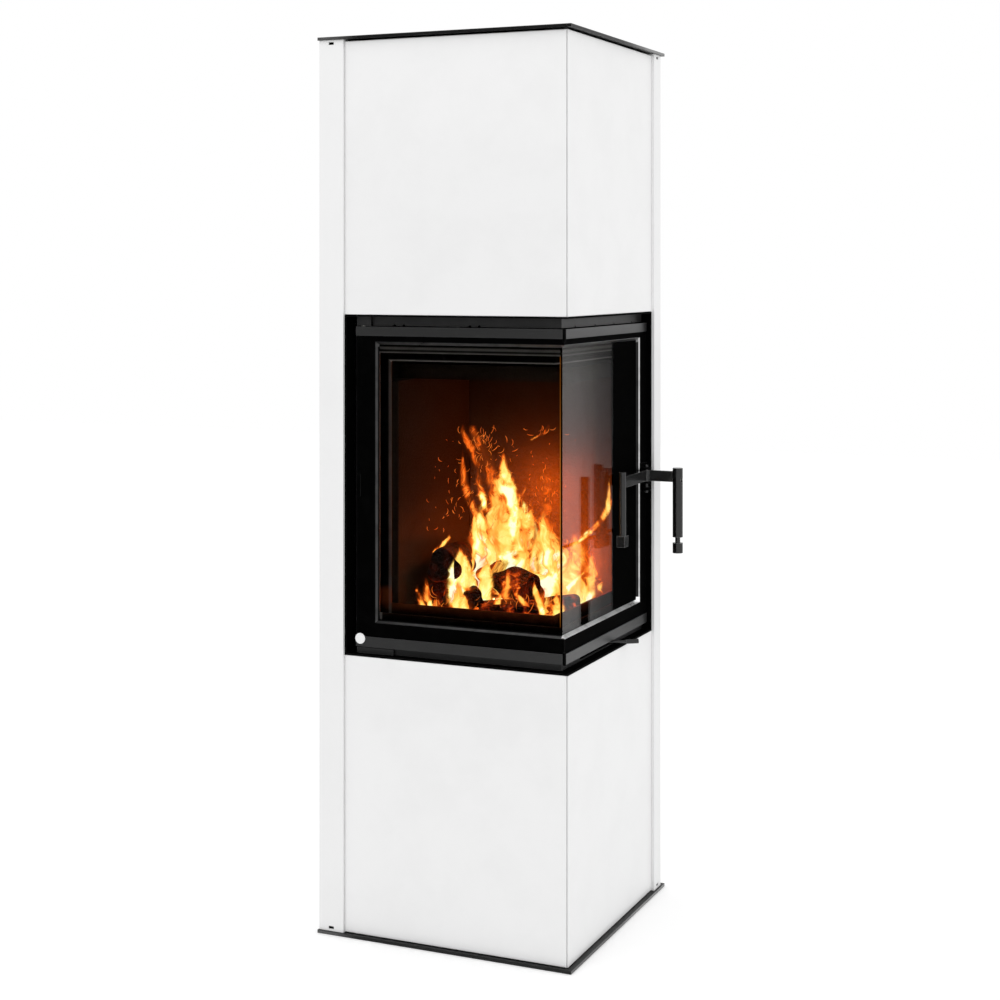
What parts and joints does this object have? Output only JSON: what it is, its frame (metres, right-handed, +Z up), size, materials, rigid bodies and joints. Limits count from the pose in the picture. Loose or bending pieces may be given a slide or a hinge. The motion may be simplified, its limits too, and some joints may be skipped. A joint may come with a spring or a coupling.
{
  "type": "tiled stove",
  "caption": "Tall square wood stove with white tiled faces, a black glass door that wraps round the front right corner, a drop handle and an air lever.",
  "frame": {"origin": "middle of the base plate's underside, on the floor", "axes": "+Z up, -Y is the front with the door's hinge side, +X is the glazed side with the handle"},
  "size_m": [0.5185, 0.46, 1.51],
  "materials": {
    "white_steel": "smooth white powder coat, semi-matt",
    "black_plate": "satin black powder coat",
    "white_tile": "white glaze with a soft sheen",
    "grey_steel": "plain galvanised sheet",
    "satin_black": "satin black stove paint",
    "bar_steel": "smooth black lacquer",
    "handle_steel": "smooth black lacquer",
    "zinc_steel": "zinc plated",
    "stove_glass": "clear, polished, black print near the rear edge",
    "rope_seal": "woven glass rope, dark grey",
    "stove_black": "matt black stove paint",
    "lining_board": "pressed vermiculite, matt",
    "cast_grate": "raw casting, sooty"
  },
  "bodies": {
    "stove": {"casing_left": "white_steel", "casing_back": "white_steel", "base_plate": "black_plate", "top_plate": "black_plate", "tile_front_lower": "white_tile", "tile_side_lower": "white_tile", "tile_front_upper": "white_tile", "tile_side_upper": "white_tile", "tile_clips": "grey_steel", "frame_posts": "grey_steel", "frame_bars": "grey_steel", "support_rails": "grey_steel", "heat_shields": "grey_steel", "air_box": "grey_steel", "air_inlet_spigot": "grey_steel", "collar_sill": "satin_black", "collar_lintel": "satin_black", "collar_jambs": "satin_black", "outlet_sheet_upper": "satin_black", "outlet_sheet_lower": "satin_black", "hinge_brackets": "satin_black", "latch_keeper": "satin_black", "casing_screws": "zinc_steel", "hinge_pins": "zinc_steel", "air_lever_pivot": "zinc_steel", "firebox_face": "stove_black", "firebox_walls": "stove_black", "firebox_floor": "stove_black", "firebox_top": "stove_black", "baffle_upper": "stove_black", "flue_collar": "stove_black", "flue_pipe": "stove_black", "lining_left": "lining_board", "lining_back": "lining_board", "lining_right": "lining_board", "lining_floor": "lining_board", "baffle_lower": "lining_board"},
    "door": {"door_frame": "satin_black", "door_trim": "bar_steel", "glass_front": "stove_glass", "glass_side": "stove_glass", "glass_gasket": "rope_seal", "glass_bezel": "satin_black", "glass_retainer": "satin_black", "retainer_screws": "zinc_steel", "door_gasket": "rope_seal", "badge_disc": "bar_steel", "stile_plate": "satin_black", "handle_bracket": "satin_black"},
    "handle": {"handle_pin": "handle_steel", "handle_lever": "handle_steel", "handle_grip": "handle_steel", "grip_screw": "zinc_steel", "handle_post": "handle_steel", "latch_pawl": "satin_black"},
    "air_lever": {"air_lever": "handle_steel", "air_lever_knob": "handle_steel"},
    "air_slide": {"air_slide": "grey_steel"},
    "ash_pan": {"ash_pan": "grey_steel"},
    "grate": {"grate": "cast_grate"}
  },
  "joints": [
    {"name": "door_hinge", "type": "hinge", "parent": "stove", "child": "door", "pos_m": [-0.158, -0.2, 0.754], "axis": [0, 0, -1], "range_deg": [0, 100]},
    {"name": "handle_turn", "type": "hinge", "parent": "door", "child": "handle", "pos_m": [0.221, 0.156, 0.752], "axis": [0, 0, 1], "range_deg": [0, 25]},
    {"name": "air_lever_turn", "type": "hinge", "parent": "stove", "child": "air_lever", "pos_m": [0.115, -0.05, 0.48], "axis": [0, 0, 1], "range_deg": [-72, 0]},
    {"name": "air_slide_travel", "type": "slide", "parent": "stove", "child": "air_slide", "axis": [0, 1, 0], "range_m": [0, 0.0354]},
    {"name": "ash_pan_lift", "type": "slide", "parent": "stove", "child": "ash_pan", "axis": [0, 0, 1], "range_m": [0, 0.15]},
    {"name": "grate_lift", "type": "slide", "parent": "ash_pan", "child": "grate", "axis": [0, 0, 1], "range_m": [0, 0.08]}
  ],
  "couplings": [
    {"joint": "air_slide_travel", "follows": "air_lever_turn", "m_per_rad": -0.02806}
  ]
}
